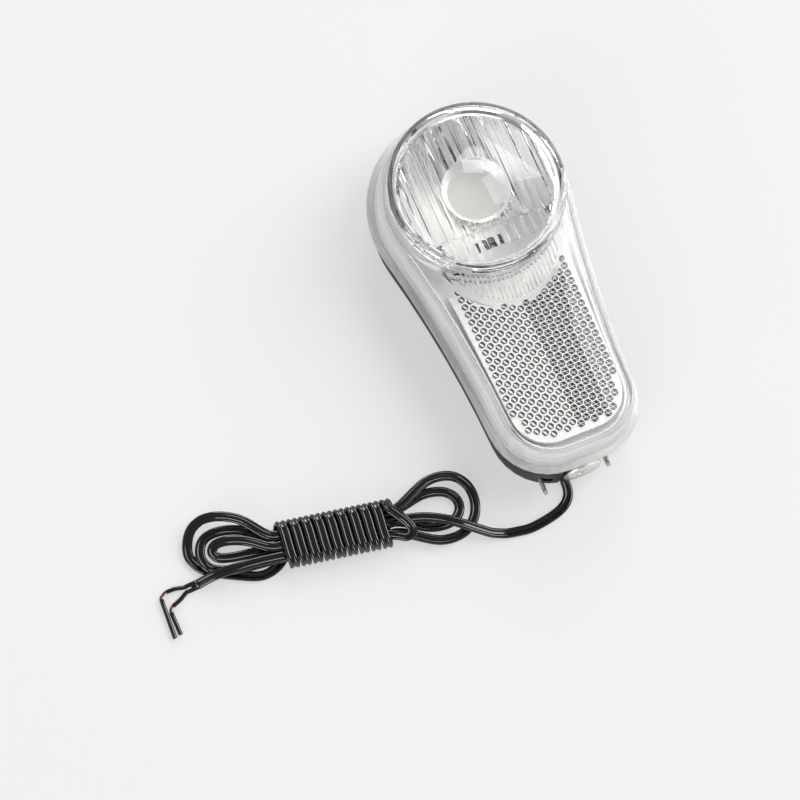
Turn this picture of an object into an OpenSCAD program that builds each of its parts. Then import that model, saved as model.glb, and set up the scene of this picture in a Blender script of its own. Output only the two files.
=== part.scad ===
// Dynamo headlight for a bicycle.
// A clear moulded front carries a round lamp head over a prismatic reflector field. It closes a
// shallow rear housing that is clamped at its lower end. The twin lead is folded into a hank and
// bound with its own end.
// X is the width, Y runs towards the lamp head, Z is the direction the light shines. Millimetres.

/* [Body outline] */
// Radius of the round head at the parting line
head_r = 30; // [29:0.5:31]
// Height of the head centre over the middle of the lamp
head_y = 27; // [26:0.5:28]
// Radius of the two bottom corners
corner_r = 17.5; // [16:0.5:18]
// Half the straight length of the bottom edge
corner_x = 5; // [4:0.5:6]
// Height of the corner centres
corner_y = -37.5; // [-38:0.5:-37]
// Radius of the hollow flanks
flank_r = 330; // [250:10:500]

/* [Depths] */
// Depth of the rear housing up to the parting line
part_z = 15; // [14.5:0.25:16]
// Thickness of the clear flange
flange_t = 1.6; // [1.2:0.1:2]
// Height of the clear deck over the reflector field
deck_z = 25.5; // [25:0.25:26]
// Height of the rim round the lamp head
rim_z = 34; // [33.5:0.25:35]
// Wall of the rear housing
shell_t = 1.85; // [1.6:0.05:2]
// Thickness of the clear deck
deck_t = 2; // [1.8:0.1:2.2]

/* [Lamp head] */
// Radius of the barrel where it leaves the deck
barrel_r = 26; // [25.6:0.1:26.2]
// Radius of the rim at the front
rim_r = 25.4; // [25:0.1:25.6]
// Free radius of the lamp window
window_r = 22; // [21:0.25:22.5]
// Thickness of the window lens
lens_t = 2; // [1.6:0.1:2.2]
// Width of one flute of the window lens
flute_w = 3; // [2.6:0.1:3.4]
// Radius of the bull's-eye
eye_r = 9.8; // [9:0.2:10.4]
// Radius of the rear face of the bull's-eye
eye_back_r = 6.8; // [6:0.2:7.2]
// Rise of the bull's-eye over the window
eye_rise = 2.4; // [1.6:0.2:2.6]

/* [Reflector field] */
// Half width of the prism plate at its top
field_top = 18.5; // [17.5:0.1:19]
// Half width of the prism plate at its bottom corners
field_low = 16.6; // [16:0.1:17]
// Lower edge of the prism plate
field_y = -48; // [-48.5:0.25:-47]
// Radius of the tongue below the lamp head
tongue_r = 18.6; // [17.5:0.1:19]
// Pitch of the prism cells
cell = 2.55; // [2.4:0.05:2.8]

/* [Fixing] */
// Diameter of the fixing bolt
bolt_d = 5; // [4:1:6]
// Diameter of its wide flat head
bolt_head_d = 11.4; // [10.6:0.2:12]
// Height of the bolt over the back
bolt_z = 7.3; // [7:0.1:7.6]
// Free gap for the bracket between washer and housing
bracket_gap = 1.2; // [1:0.1:1.6]
// Width of the tail-light tabs
tab_w = 2.8; // [2.4:0.2:4.8]
// Thickness of the tail-light tabs
tab_t = 0.8; // [0.5:0.1:0.8]

/* [Lead] */
// Diameter of one core of the twin lead
strand_d = 1.3; // [1.1:0.05:1.3]
// Web between the two cores of the twin lead
web = 0.35; // [0.2:0.05:0.35]
// Number of whole binding turns
bind_turns = 9; // [6:1:9]

/* [Hidden] */
$fn = 64;
eps = 0.01;
fit = 0.15;
run_fit = 0.03;
seat = 0.2;
bottom_y = corner_y - corner_r;
tip_y = -(head_y + head_r);
draw_in = 0.35;
lip_d = shell_t + draw_in + fit;
lip_t = 1.15;
lip_h = 2;
cover_in = lip_d + lip_t;
deck_under = deck_z - deck_t;
lens_top = rim_z - 2.8;
lens_seat = lens_top + seat;
lens_r = window_r + 1.6;
barrel_in = window_r + 2;
flute_depth = 0.45;
flute_r = (pow(flute_w / 2 - 0.04, 2) + pow(flute_depth, 2)) / (2 * flute_depth);
flute_z = lens_top - lens_t - flute_r + flute_depth;
bowl_top = lens_top - lens_t - seat;
board_top = part_z - 0.4;
bowl_r = window_r + 0.4;
neck_r = 8;
bowl_t = 1.2;
slot_w = 5.2;
slot_l = 4.6;
slot_at = 1.4;
bowl_k = (pow(bowl_r, 2) - pow(neck_r, 2)) / (bowl_top - board_top - 1.4);
plate_z = deck_under - seat;
plate_t = 1.9;
prism_h = 1.1;
prism_gap = 0.06;
tray_t = 1.2;
back_z = plate_z - plate_t - prism_h - seat - tray_t;
tray_d = 4.65;
skirt_t = 0.7;
skirt_z = part_z + 0.6;
head_clear = head_r + 1;
field_end = head_y - 0.8 * head_r;
field_corner = 11;
tongue_y = head_y - 16.1;
tongue_slope = 19;
band_w = 1.5;
band_drop = 0.35;
rib_pitch = 1.3;
notch_l = -6.5;
notch_r = 13;
notch_y = bottom_y + 3.4;
bolt_x = 0;
washer_t = 0.8;
washer_d = 2 * bolt_d;
washer_y = notch_y - bracket_gap;
head_t = 1.5;
head_in_y = washer_y - washer_t;
nut_af = 1.6 * bolt_d;
nut_t = 0.8 * bolt_d;
shank_l = 12;
tab_lx = -12;
tab_rx = 8;
tab_z = 6;
floor_t = 2;
sink_r = 0.43 * head_r;
fin_pitch = 0.34 * sink_r;
fin_t = 1.6;
led_r = sink_r - 1;
board_y = head_y - 35;
board_l = 0.87 * head_r;
board_w = 0.64 * head_r;
board_z = 5;
board_t = 1.6;
cap_d = 0.52 * board_w;
cap_l = 0.48 * board_l;
diode_l = 4.6;
wire_d = 0.7;
cord_x = -4.5;
cord_z = 2.6;
row_y = -(eye_r + 1.6);
row_gap = 0.4;
row_h = window_r - eye_r - 6.2;
eye_depth = 0.55 * eye_r;

// Outline of the lamp: round head, hollow flanks, rounded bottom corners
function flank_c(hr, cx, cr, fr) =
    let (a = [0, head_y], b = [cx, corner_y], l = norm(b - a), u = (b - a) / l)
    let (m = (pow(hr + fr, 2) - pow(cr + fr, 2) + l * l) / (2 * l))
    a + m * u + sqrt(pow(hr + fr, 2) - m * m) * [-u.y, u.x];

function around(c, r, a0, a1, n) =
    [for (i = [0:n]) let (a = a0 + (a1 - a0) * i / n) c + r * [cos(a), sin(a)]];

function bearing(from, to) = atan2(to.y - from.y, to.x - from.x);

function right_side(hr, cx, cr, fr) =
    let (a = [0, head_y], b = [cx, corner_y], c = flank_c(hr, cx, cr, fr))
    let (fa = (bearing(c, a) + 360) % 360, fb = (bearing(c, b) + 360) % 360)
    let (flank = around(c, fr, fb, fa, 6))
    concat(around(b, cr, -90, bearing(b, c), 8), [for (i = [1:5]) flank[i]],
        around(a, hr, bearing(a, c), 90, 14));

function outline(hr, cx, cr, fr) =
    let (side = right_side(hr, cx, cr, fr), n = len(side))
    concat(side, [for (i = [n - 2:-1:0]) [-side[i].x, side[i].y]]);

function grown(d) = outline(head_r + d, corner_x, corner_r + d, flank_r - d);

function back(d) = outline(head_r - 2.9 + d, corner_x - 2.2, corner_r - 0.4 + d, flank_r - d);

function at(shape, z) = [for (p = shape) [p.x, p.y, z]];

function blend(a, b, k) = [for (i = [0:len(a) - 1]) a[i] * (1 - k) + b[i] * k];

// Closed skin through rings of equal length, listed from the back to the front
module skin(rings) {
    n = len(rings[0]);
    m = len(rings);
    low = [0, 0, rings[0][0].z];
    high = [0, 0, rings[m - 1][0].z];
    pts = concat([for (r = rings) for (p = r) p], [low, high]);
    sides = [for (k = [0:m - 2]) for (i = [0:n - 1]) let (a = k * n + i, b = k * n + (i + 1) % n)
        each [[a, a + n, b + n], [a, b + n, b]]];
    first = [for (i = [0:n - 1]) [n * m, i, (i + 1) % n]];
    last = [for (i = [0:n - 1]) [n * m + 1, (m - 1) * n + (i + 1) % n, (m - 1) * n + i]];
    polyhedron(points = pts, faces = concat(sides, first, last), convexity = 8);
}

// Tubes swept along routes
function unit(v) = v / norm(v);

function spline(a, b, c, d, t) =
    0.5 * (2 * b + (c - a) * t + (2 * a - 5 * b + 4 * c - d) * t * t + (3 * b - a - 3 * c + d) * t * t * t);

function smooth(p, k) =
    let (n = len(p), q = concat([2 * p[0] - p[1]], p, [2 * p[n - 1] - p[n - 2]]))
    concat([for (i = [0:n - 2]) for (j = [0:k - 1]) spline(q[i], q[i + 1], q[i + 2], q[i + 3], j / k)],
        [p[n - 1]]);

function bow(a, b, c, d, t) =
    pow(1 - t, 3) * a + 3 * t * pow(1 - t, 2) * b + 3 * t * t * (1 - t) * c + pow(t, 3) * d;

function heading(r, i) = unit(r[min(i + 1, len(r) - 1)] - r[max(i - 1, 0)]);

function flat_ring(c, t, sect) =
    let (s = unit(cross([0, 0, 1], t)), n = cross(t, s))
    [for (q = sect) c + q.x * s + q.y * n];

function flat_rings(r, sect) = [for (i = [0:len(r) - 1]) flat_ring(r[i], heading(r, i), sect)];

function twin_section() =
    let (w = twin_w / 2, h = cord_r)
    [[w, h * 0.4], [w * 0.72, h], [-w * 0.72, h], [-w, h * 0.4],
     [-w, -h * 0.4], [-w * 0.72, -h], [w * 0.72, -h], [w, -h * 0.4]];

function core_section(d) = [for (a = [22.5:45:359]) d / 2 * [cos(a), sin(a)]];

module tube(rings) {
    n = len(rings[0]);
    m = len(rings);
    sides = [for (k = [0:m - 2]) for (i = [0:n - 1]) let (a = k * n + i, b = k * n + (i + 1) % n)
        each [[a, a + n, b + n], [a, b + n, b]]];
    first = [for (i = [1:n - 2]) [0, i, i + 1]];
    last = [for (i = [1:n - 2]) let (e = (m - 1) * n) [e, e + i + 1, e + i]];
    pts = [for (r = rings) for (p = r) p];
    polyhedron(points = pts, faces = concat(sides, first, last), convexity = 10);
}

// Route of the lead; the hank has its own axes, U along the binding and V across it
hank_at = [-71.5, -45, 0];
hank_turn = -9.7;
cord_r = strand_d / 2;
twin_w = 2 * strand_d + web;
low = cord_r + 0.12;
slot_v = twin_w + 0.3;
slot_low = low + strand_d + 0.53;
slot_high = slot_low + strand_d + 0.3;
bind_pitch = twin_w + 0.4;
bind_a = slot_v + twin_w / 2 + cord_r + 0.925;
bind_b = (slot_high + strand_d + 0.67 - low) / 2;
bind_z = low + bind_b;
bind_end = 360 * bind_turns + 130;
bind_u = bind_pitch * bind_end / 720;
loop_u = bind_u + 2.8;

function hank(p) =
    let (c = cos(hank_turn), s = sin(hank_turn))
    hank_at + [p.x * c - p.y * s, p.x * s + p.y * c, p.z];

function squared(x) = sign(x) * pow(abs(x), 2 / 3.4);

function bind_point(a) =
    [bind_pitch * a / 360 - bind_u, bind_a * squared(sin(a)), bind_z - bind_b * squared(cos(a))];

function bind_heading(a) = unit(bind_point(a + 1) - bind_point(a - 1));

function bind_normal(a) =
    let (t = bind_heading(a))
    unit([0, t.z, -t.y]);

lead_route = concat(
    [[cord_x, notch_y + 2.6, cord_z], [cord_x, notch_y + 1.1, cord_z],
     [cord_x, notch_y - 0.4, cord_z - 0.25], [cord_x, notch_y - 2.2, 1.45], [cord_x, notch_y - 4.4, 0.95],
     [cord_x - 0.2, bottom_y - 3, low], [-6.6, -61, low], [-11, -62.4, low], [-15, -63, low]],
    [hank([55, -9.4, low]), hank([53, -9.4, low]), hank([51, -9.4, low])]);

// Straight runs through the binding, WAY 1 heading left and -1 heading right
function pass(v, z, way) = [for (k = [1, 0, -1]) [way * k * (bind_u - 2.7), v, z]];

// Loops of the hank as curves; a strand that would dip below the ground lies on it
function laid(p) = [p.x, p.y, max(p.z, low)];

function curve(a, b, c, d, n) = [for (i = [0:n - 1]) laid(bow(a, b, c, d, i / n))];

function round_loop(p) = concat(curve(p[0], p[1], p[2], p[3], 8), [p[3]]);

function long_loop(p) =
    concat(curve(p[0], p[1], p[2], p[3], 4), curve(p[3], p[4], p[5], p[6], 4), [p[6]]);

spread = 0.3;
inner_left = long_loop([
    [-loop_u, 0, slot_high], [-27, 5.4, 4], [-34.9, 5.8, 3.4], [-34.9, 2.3, 3.2],
    [-34.9, -1.2, 3], [-27, -0.1, 2.7], [-loop_u, 0, slot_low]]);
inner_right = round_loop([
    [loop_u, 0, slot_low], [42, -13, 0.4], [43, 16, 0.2], [loop_u, slot_v + spread, slot_low]]);
middle_left = long_loop([
    [-loop_u, slot_v + spread, slot_low], [-27, 9.4, 2.4], [-38.3, 9.8, 2.4], [-38.3, 2.4, 2.4],
    [-38.3, -4.6, 2.4], [-30, -4.1, 2.4], [-loop_u, -slot_v - 0.1, slot_low]]);
outer_right = round_loop([
    [loop_u, -slot_v - 0.1, slot_low], [49, -22, 0], [48, 28, 1.8],
    [loop_u, slot_v + spread, slot_high]]);
outer_left = long_loop([
    [-loop_u, slot_v + spread, slot_high], [-27, 14.4, 4.2], [-41.6, 15.6, 3.2], [-41.6, 4.4, 1.2],
    [-41.6, -2.8, -0.2], [-33, -3.6, low], [-25.5, -6.2, low]]);

bind_in = bind_point(0);
bind_in_t = bind_heading(0);
hank_lead = [
    [51, -9.4, low], [49, -9.4, low], [47, -9.3, low], [43.5, -8.4, 1.6], [40, -6.9, 3],
    [36, -4.9, 4.2], [31, -2.5, 4.7], [26, -0.8, 4.5], [loop_u + 2.5, -0.05, slot_high + 0.05]];
hank_tail = [for (k = [4, 2, 0]) bind_in - (k + 0.02) * bind_in_t];
hank_local = concat(
    hank_lead,
    pass(0, slot_high, 1), inner_left,
    pass(0, slot_low, -1), inner_right,
    pass(slot_v, slot_low, 1), middle_left,
    pass(-slot_v, slot_low, -1), outer_right,
    pass(slot_v, slot_high, 1), outer_left,
    [[-loop_u - 2.9, -7.2, low]], hank_tail);
hank_route = [for (p = hank_local) hank(p)];

// The end of the binding turns back over the last turn and is drawn out under all of them
split_at = [-42.5, -5.7, low];
split_t = unit([-0.975, -0.22, 0]);
split_s = [-split_t.y, split_t.x, 0];
tail_out = bind_point(bind_end);
tail_out_t = bind_heading(bind_end);
turn_back = [
    [loop_u - 1, 1.7, 6.8], [loop_u + 0.8, -0.5, 6.9], [loop_u + 2.3, -2.7, 6.4],
    [loop_u + 2.4, -4.6, 5.6], [loop_u + 0.7, -5.1, 4.9], [loop_u - 1.7, -4.1, 4.4]];
tail_run = [
    [-loop_u - 2.5, -3.3, 4.3], [-25, -3.5, 4.4], [-29, -3.8, 4.4], [-32.5, -4.1, 4.2],
    [-35.5, -4.45, 3.75], [-38, -4.8, 2.3]];
tail_local = concat(
    [for (k = [0, 1.2, 2.4]) tail_out + k * tail_out_t],
    turn_back,
    [for (k = [0.85, 0.4, 0, -0.5, -1.05]) [k * bind_u, -slot_v, slot_high]],
    tail_run,
    [for (k = [2.4, 1.2, 0]) split_at - k * split_t]);
tail_route = [for (p = tail_local) hank(p)];

function core_start(side) =
    [for (k = [0, 1, 2]) split_at + side * (strand_d + web) / 2 * split_s + k * split_t];

core_a_local = concat(core_start(-1), [[-47, -5.2, low], [-49.6, -5.6, low]]);
core_b_local = concat(core_start(1), [[-46.2, -8.5, low], [-48.6, -9.9, low]]);
core_a_route = [for (p = core_a_local) hank(p)];
core_b_route = [for (p = core_b_local) hank(p)];
copper_d = 0.8;
slug_a_from = [-51.4, -7.4, low];
slug_a_to = [-50, -19, low];
slug_b_from = [-49.5, -11.6, low];
slug_b_to = [-48.2, -18.3, low];

// Least distance between points of rings that are not neighbours along the tube
function ring_gap(a, b) = min([for (p = a) for (q = b) norm(p - q)]);

function self_gap(rings, skip) =
    let (n = len(rings))
    min([for (i = [0:2:n - skip - 1]) for (j = [i + skip:n - 1])
        if (norm(rings[i][0] - rings[j][0]) < 9) ring_gap(rings[i], rings[j])]);

bind_step = 15;
bind_section = [[twin_w / 2, 0], [twin_w * 0.31, cord_r], [-twin_w * 0.31, cord_r],
    [-twin_w / 2, 0], [-twin_w * 0.31, -cord_r], [twin_w * 0.31, -cord_r]];

function bind_ring(a) =
    let (t = bind_heading(a), n = bind_normal(a), s = unit(cross(n, t)), m = cross(t, s))
    [for (q = bind_section) hank(bind_point(a) + q.x * s + q.y * m)];

bind_rings = [for (i = [0:floor(bind_end / bind_step)]) bind_ring(min(i * bind_step, bind_end))];
bind_all = concat(bind_rings, bind_end % bind_step > 0 ? [bind_ring(bind_end)] : []);
hank_rings = flat_rings(smooth(hank_route, 2), twin_section());
union() {
    echo(hank_self_gap = self_gap(hank_rings, 9), binding_self_gap = self_gap(bind_all, 12));
}

// Prism plate outline, open round the lamp head and the tongue
plate_c = [field_low - field_corner, field_y + field_corner];

function plate_side() =
    let (lean = atan((field_top - field_low) / (field_end - plate_c.y)))
    concat(around(plate_c, field_corner, -90, lean / 2, 12), [[field_top, field_end]]);

module plate_shape() {
    side = plate_side();
    n = len(side);
    difference() {
        polygon(concat(side, [for (i = [n - 1:-1:0]) [-side[i].x, side[i].y]]));
        translate([0, head_y]) circle(r = head_clear);
        translate([0, tongue_y]) circle(r = tongue_r + 0.6);
    }
}

// True where a whole prism cell lies inside the plate
function holds(p) =
    let (m = 0.56 * cell, x = abs(p.x), k = (p.y - field_y) / (field_end - field_y))
    x < field_low + (field_top - field_low) * k - m
        && p.y > field_y + m
        && (p.y > plate_c.y || x < plate_c.x || norm([x, p.y] - plate_c) < field_corner - m)
        && norm(p - [0, head_y]) > head_clear + m
        && norm(p - [0, tongue_y]) > tongue_r + 0.6 + m;

module along_y(p) {
    translate(p) rotate([90, 0, 0]) children();
}

module rear_housing() {
    color([0.16, 0.16, 0.17]) difference() {
        union() {
            difference() {
                housing_body();
                skin([at(back(-shell_t - 0.4), floor_t), at(grown(-draw_in - shell_t), part_z + eps)]);
            }
            intersection() {
                housing_body();
                translate([notch_l - shell_t, bottom_y - 5, 0])
                    cube([notch_r - notch_l + 2 * shell_t, 5 + 3.4 + shell_t, part_z]);
            }
            for (s = [-1, 1]) {
                translate([s * 13, -6, 1]) cylinder(d = 5, h = back_z - 1 - seat / 2);
                translate([s * 12.6, -36, 1]) cylinder(d = 5, h = back_z - 1 - seat / 2);
                for (y = [board_y - 4, board_y - board_l + 4])
                    translate([s * 6.5, y, 1]) cylinder(d = 4, h = board_z - 1);
            }
            nut_cage();
        }
        translate([notch_l, bottom_y - 6, -1]) cube([notch_r - notch_l, 6 + 3.4, part_z + 2]);
        along_y([bolt_x, notch_y + shell_t + 1, bolt_z]) cylinder(d = bolt_d + 0.6, h = shell_t + 2);
        translate([tab_lx - tab_t / 2 - 0.2, bottom_y - 2, tab_z - tab_w / 2 - 0.2])
            cube([tab_t + 3.2, 8, tab_w + 0.4]);
        translate([tab_rx - tab_t / 2 - fit, notch_y - 1, tab_z - tab_w / 2 - fit])
            cube([tab_t + 2 * fit, 4, tab_w + 2 * fit]);
        translate([cord_x - twin_w / 2 - fit, notch_y - 1, cord_z - cord_r - 0.4])
            cube([twin_w + 2 * fit, 4, strand_d + 0.4 + fit]);
    }
}

module housing_body() {
    skin([at(back(-1.3), 0), at(back(-0.4), 0.4), at(back(0), 1.5), at(grown(-draw_in), part_z)]);
}

// Cage behind the bracket notch that keeps the nut from turning
module nut_cage() {
    y = notch_y + shell_t;
    difference() {
        translate([bolt_x - nut_af / 2 - 1.8, y - 0.2, 1])
            cube([nut_af + 3.6, nut_t + 0.2, bolt_z + nut_af / 2]);
        along_y([bolt_x, y + nut_t + 1, bolt_z])
            cylinder(d = (nut_af + 2 * fit) / cos(30), h = nut_t + 1, $fn = 6);
        translate([bolt_x - nut_af / 2 - fit, y, bolt_z]) cube([nut_af + 2 * fit, nut_t + 1, nut_af]);
    }
}

module front_cover() {
    lip_k = (part_z - lip_h - floor_t) / (part_z - floor_t);
    lip_low = blend(back(-shell_t - 0.4 - fit), grown(-lip_d), lip_k);
    color([0.9, 0.93, 0.95, 0.45]) difference() {
        union() {
            skin([at(lip_low, part_z - lip_h), at(grown(-lip_d), part_z), at(grown(0), part_z),
                at(grown(0), part_z + flange_t - 0.4), at(grown(-0.4), part_z + flange_t),
                at(grown(-1.9), part_z + flange_t), at(grown(-2.6), deck_z - 1.1),
                at(grown(-2.9), deck_z - 0.4), at(grown(-3.5), deck_z)]);
            barrel();
            tongue();
        }
        skin([at(grown(-cover_in), part_z - 3), at(grown(-cover_in), part_z + flange_t + 0.2),
            at(grown(-4.5), deck_under - 0.9), at(grown(-5.1), deck_under)]);
        translate([0, head_y, deck_under - 1])
            cylinder(r = barrel_in, h = lens_seat - deck_under + 1, $fn = 120);
        translate([0, head_y, lens_seat - 1]) cylinder(r = window_r, h = 6, $fn = 120);
        translate([notch_l - shell_t - fit, bottom_y - 2, part_z - 3])
            cube([notch_r - notch_l + 2 * (shell_t + fit), 8, 3]);
    }
}

module barrel() {
    translate([0, head_y, 0]) rotate_extrude($fn = 120)
        polygon([[barrel_in - 2, deck_under], [barrel_r, deck_under], [barrel_r, deck_z + 1.6],
            [rim_r, rim_z - 0.7], [rim_r - 0.5, rim_z], [rim_r - 1.3, rim_z], [rim_r - 2, rim_z - 0.8],
            [window_r, lens_seat + 0.5], [window_r, lens_seat], [barrel_in - 2, lens_seat]]);
}

// Fluted tongue with a plain lower band, easing the barrel down to the reflector field
module tongue() {
    difference() {
        union() {
            tongue_block(tongue_r, -band_drop);
            tongue_block(tongue_r - band_w, 0);
        }
        translate([0, head_y, deck_z - 2]) cylinder(r = barrel_r - 1, h = 12, $fn = 120);
        intersection() {
            for (i = [-11:11]) on_slope() translate([i * rib_pitch, 14, 0.08]) rotate([0, 45, 0])
                cube([0.5, 60, 0.5], center = true);
            translate([0, tongue_y, deck_z - 2]) cylinder(r = tongue_r - band_w - 0.3, h = 14);
        }
    }
}

module tongue_block(r, top) {
    intersection() {
        translate([0, tongue_y, deck_z - 1]) cylinder(r = r, h = 9);
        on_slope() translate([-30, -6, -14]) cube([60, 40, 14 + top]);
    }
}

module on_slope() {
    translate([0, tongue_y - tongue_r, deck_z + 0.5]) rotate([tongue_slope, 0, 0]) children();
}

module window_lens() {
    color([0.95, 0.97, 1, 0.4]) translate([0, head_y, 0]) {
        difference() {
            translate([0, 0, lens_top - lens_t]) cylinder(r = lens_r, h = lens_t, $fn = 120);
            for (i = [-7:7]) translate([i * flute_w, row_y, flute_z])
                rotate([-90, 0, 0]) cylinder(r = flute_r, h = 2 * lens_r);
            for (i = [-7:6]) translate([(i + 0.5) * flute_w, row_y - row_gap, flute_z])
                rotate([90, 0, 0]) cylinder(r = flute_r, h = row_h);
            translate([0, 0, lens_top - lens_t - 1]) cylinder(r = eye_r - 0.5, h = lens_t + 2);
        }
        eye();
    }
}

// Bull's-eye: domed front, tapered rear, flat face towards the emitter
module eye() {
    dome_r = (pow(eye_r, 2) + pow(eye_rise, 2)) / (2 * eye_rise);
    translate([0, 0, lens_top - lens_t]) cylinder(r = eye_r, h = lens_t);
    translate([0, 0, lens_top - lens_t - eye_depth]) cylinder(r1 = eye_back_r, r2 = eye_r, h = eye_depth);
    intersection() {
        translate([0, 0, lens_top + eye_rise - dome_r]) sphere(r = dome_r, $fn = 96);
        translate([0, 0, lens_top - 0.5]) cylinder(r = eye_r, h = eye_rise + 2);
    }
}

module prism_plate() {
    color([0.93, 0.94, 0.95, 0.6]) {
        translate([0, 0, plate_z - plate_t]) linear_extrude(plate_t) plate_shape();
        prism_cells();
    }
}

// Six-sided prisms on the back of the plate, in columns along Y
module prism_cells() {
    dx = cell * cos(30);
    columns = ceil(field_top / dx);
    rows = ceil((field_end - field_y) / cell);
    for (i = [-columns:columns]) for (j = [0:rows]) {
        p = [i * dx, field_y + (j + abs(i) % 2 / 2) * cell];
        if (holds(p)) translate([p.x, p.y, plate_z - plate_t - prism_h])
            cylinder(r1 = 0.12, r2 = cell / sqrt(3) - prism_gap, h = prism_h + eps, $fn = 6);
    }
}

// Light tray under the deck: a floor behind the prisms and a skirt along the clear walls,
// with a round hole for the bowl of the lamp
module prism_backing() {
    color([0.82, 0.83, 0.84]) difference() {
        translate([0, 0, skirt_z]) linear_extrude(deck_under - 0.9 - skirt_z) polygon(grown(-tray_d));
        translate([0, 0, back_z + tray_t]) linear_extrude(deck_under) polygon(grown(-tray_d - skirt_t));
        translate([0, 0, part_z - 1]) linear_extrude(back_z - part_z + 1) polygon(grown(-tray_d - skirt_t));
        translate([0, head_y, part_z - 1]) cylinder(r = lens_r + seat, h = deck_z, $fn = 96);
    }
}

function bowl_curve(z) = sqrt(max(pow(neck_r, 2) + bowl_k * (z - board_top - 1.4), 0));

module lamp_reflector() {
    zs = [for (i = [0:8]) board_top + 1.4 + (bowl_top - 1.2 - board_top - 1.4) * pow(i / 8, 1.4)];
    color([0.85, 0.86, 0.88]) translate([0, head_y, 0]) difference() {
        rotate_extrude($fn = 96)
            polygon(concat([[neck_r, board_top]], [for (z = zs) [bowl_curve(z), z]], [[bowl_r, bowl_top],
                [lens_r, bowl_top], [lens_r, part_z + 2.5], [lens_r - 0.9, part_z + 2.5],
                [lens_r - 0.9, bowl_top - 1.2]],
                [for (i = [7:-1:0]) [bowl_curve(zs[i]) + bowl_t, zs[i] - 0.3]],
                [[neck_r + bowl_t, board_top]]));
        translate([-slot_w / 2, -neck_r - bowl_t - slot_at - slot_l, board_top])
            cube([slot_w, slot_l, bowl_top - board_top]);
    }
}

module led_board() {
    color([0.9, 0.9, 0.88]) difference() {
        translate([0, head_y, board_top - 1.5]) cylinder(r = led_r, h = 1.5);
        for (s = [-1, 1]) translate([s * (led_r - 1.6), head_y + 3, board_top - 2])
            cylinder(d = 2.2, h = 3);
    }
}

module led_emitter() {
    color([0.95, 0.85, 0.35]) translate([0, head_y, board_top]) {
        translate([-2.5, -2.5, 0]) cube([5, 5, 0.9]);
        intersection() {
            translate([0, 0, 0.7]) sphere(r = 1.7);
            translate([0, 0, 0.5]) cylinder(r = 3, h = 3);
        }
    }
}

module heat_sink() {
    color([0.75, 0.76, 0.78]) translate([0, head_y, 0]) {
        translate([0, 0, board_top - 3.5]) cylinder(r = sink_r, h = 2);
        for (i = [-2:2]) {
            half = sqrt(pow(sink_r, 2) - pow(abs(i) * fin_pitch + fin_t / 2, 2)) - 1;
            translate([i * fin_pitch - fin_t / 2, -half, floor_t + seat])
                cube([fin_t, 2 * half, board_top - 3 - floor_t - seat]);
        }
    }
}

module control_board() {
    color([0.1, 0.4, 0.22]) difference() {
        translate([-board_w / 2, board_y - board_l, board_z]) cube([board_w, board_l, board_t]);
        for (s = [-1, 1]) translate([s * 3, board_y - 2, board_z - 1]) cylinder(d = 1.4, h = 4);
    }
}

module smoothing_capacitor() {
    r = cap_d / 2;
    color([0.12, 0.14, 0.25]) along_y([0, board_y - 5, board_z + board_t + r]) {
        difference() {
            cylinder(d = cap_d, h = cap_l);
            translate([0, 0, cap_l - 1.8]) rotate_extrude() translate([r + 0.2, 0]) circle(d = 1, $fn = 24);
        }
    }
    color([0.7, 0.7, 0.7]) for (s = [-1, 1]) translate([s * r / 2, board_y - 5, board_z + board_t + r]) {
        rotate([-90, 0, 0]) cylinder(d = wire_d, h = 1.2, $fn = 24);
        translate([0, 1.2, -r]) cylinder(d = wire_d, h = r + wire_d / 2, $fn = 24);
    }
}

module rectifier_diodes() {
    lead = diode_l / 2 + 0.6;
    for (i = [0:3]) translate([-6 + 4 * i, board_y - board_l + 4.5, board_z + board_t]) {
        color([0.1, 0.1, 0.1]) along_y([0, diode_l / 2, 1.4]) cylinder(d = 2.6, h = diode_l, $fn = 32);
        color([0.75, 0.75, 0.75]) {
            for (s = [-1, 1]) translate([0, s * lead, 0]) cylinder(d = wire_d, h = 1.75, $fn = 24);
            along_y([0, lead + 0.3, 1.4]) cylinder(d = wire_d, h = 2 * lead + 0.6, $fn = 24);
        }
    }
}

module led_wires() {
    rise = board_top + 0.55;
    for (s = [-1, 1]) color(s < 0 ? [0.3, 0.3, 0.32] : [0.1, 0.1, 0.1]) tube(flat_rings(smooth(
        [[s * 3, head_y - 9.6, rise], [s * 3, head_y - 11.6, rise], [s * 3, head_y - 13.6, rise],
         [s * 3, head_y - 19, board_top - 2], [s * 3, head_y - 25, 10.5],
         [s * 3, board_y + 4, board_z + 2.6], [s * 3, board_y - 0.5, board_z + 2.15],
         [s * 3, board_y - 2, board_z + 2.15],
         [s * 3, board_y - 3.5, board_z + 2.15]], 3), core_section(1.1)));
}

module tab(x, from_y, to_y) {
    translate([x - tab_t / 2, 0, tab_z]) rotate([90, 0, 90]) linear_extrude(tab_t) difference() {
        polygon([[to_y, -tab_w / 2], [from_y + 0.7, -tab_w / 2], [from_y, -tab_w / 2 + 0.7],
            [from_y, tab_w / 2 - 0.7], [from_y + 0.7, tab_w / 2], [to_y, tab_w / 2]]);
        translate([from_y + 1.6, 0]) circle(d = tab_w / 2.4, $fn = 32);
    }
}

module tail_tab_left() {
    color([0.78, 0.76, 0.7]) tab(tab_lx, tip_y, board_y - board_l - 9);
}

module tail_tab_right() {
    color([0.78, 0.76, 0.7]) tab(tab_rx, tip_y + 1, board_y - board_l - 9);
}

module captive_nut() {
    color([0.72, 0.73, 0.75]) difference() {
        along_y([bolt_x, notch_y + shell_t + nut_t, bolt_z])
            cylinder(d = nut_af / cos(30), h = nut_t, $fn = 6);
        along_y([bolt_x, notch_y + shell_t + nut_t + 1, bolt_z])
            cylinder(d = bolt_d + 2 * run_fit, h = nut_t + 2);
    }
}

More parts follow.
